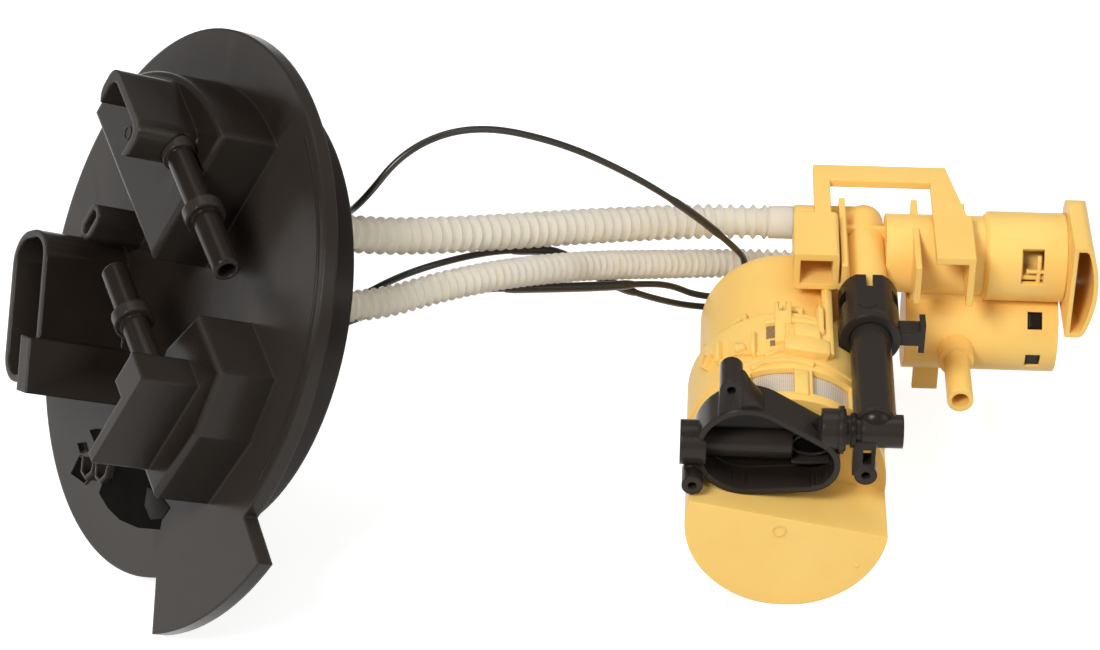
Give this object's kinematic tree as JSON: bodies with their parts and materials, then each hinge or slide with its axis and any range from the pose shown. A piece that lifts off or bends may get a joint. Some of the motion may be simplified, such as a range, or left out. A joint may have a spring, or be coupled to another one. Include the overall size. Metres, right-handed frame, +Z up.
{
  "type": "fuel pump module",
  "caption": "Tank cover with two quick-connect ports and a socket, joined by two ribbed hoses and three leads to a pump pot with regulator, filter and jet pump.",
  "frame": {"origin": "centre of the footprint, on the bench the module lies on", "axes": "+Z up; X runs from the tank cover (-X) to the pump pot (+X); the pot's end plate faces -Y"},
  "size_m": [0.331, 0.1784, 0.148],
  "materials": {
    "black_resin": "satin moulded resin",
    "ochre_resin": "satin moulded resin, slightly waxy",
    "hose_nylon": "milky corrugated nylon",
    "lead_cover": "smooth lead insulation",
    "plated_terminal": "tin plated",
    "strainer_net": "fine woven net",
    "motor_steel": "plated steel",
    "magnet_ferrite": "fired ferrite",
    "pump_metal": "machined",
    "inner_resin": "glass filled resin",
    "carbon": "pressed carbon",
    "isolator_rubber": "soft rubber",
    "winding_core": "laminated core and copper",
    "filter_paper": "pleated paper"
  },
  "bodies": {
    "root": {"tank_cover": "black_resin", "terminal_blades": "plated_terminal", "supply_nipple": "black_resin", "return_nipple": "black_resin", "supply_barb": "black_resin", "return_barb": "black_resin", "cover_plug": "black_resin", "supply_hose": "hose_nylon", "return_hose": "hose_nylon", "upper_lead": "lead_cover", "middle_lead": "lead_cover", "lower_lead": "lead_cover", "strainer_cap": "ochre_resin", "strainer_mesh": "strainer_net", "pump_housing": "ochre_resin", "motor_can": "motor_steel", "left_magnet": "magnet_ferrite", "right_magnet": "magnet_ferrite", "pump_cover": "pump_metal", "pump_body": "pump_metal", "brush_holder": "inner_resin", "carbon_brushes": "carbon", "motor_isolators": "isolator_rubber", "barrel_holder": "ochre_resin", "regulator_seat": "ochre_resin", "regulator_spring": "motor_steel", "outlet_hood": "ochre_resin", "filter_element": "filter_paper", "filter_plug": "ochre_resin", "filter_cap": "ochre_resin", "jet_scoop": "black_resin", "jet_pipe": "black_resin", "quick_connector": "black_resin", "pump_plug": "ochre_resin"},
    "pump_rotor": {"armature": "winding_core", "impeller": "inner_resin"},
    "check_valve": {"outlet_check_valve": "inner_resin"},
    "relief_valve": {"regulator_poppet": "inner_resin"},
    "latch": {"connector_latch": "black_resin"}
  },
  "joints": [
    {"name": "rotor_spin", "type": "hinge", "parent": "root", "child": "pump_rotor", "pos_m": [0.07065, 0.01875, 0.0296], "axis": [0, 1, 0], "continuous": true},
    {"name": "check_valve_lift", "type": "slide", "parent": "root", "child": "check_valve", "axis": [0, 1, 0], "range_m": [0, 0.004]},
    {"name": "relief_lift", "type": "slide", "parent": "root", "child": "relief_valve", "axis": [1, 0, 0], "range_m": [0, 0.0015], "stiffness_N_per_m": 4000},
    {"name": "latch_press", "type": "slide", "parent": "root", "child": "latch", "axis": [-1, 0, 0], "range_m": [0, 0.0016], "stiffness_N_per_m": 3000}
  ]
}
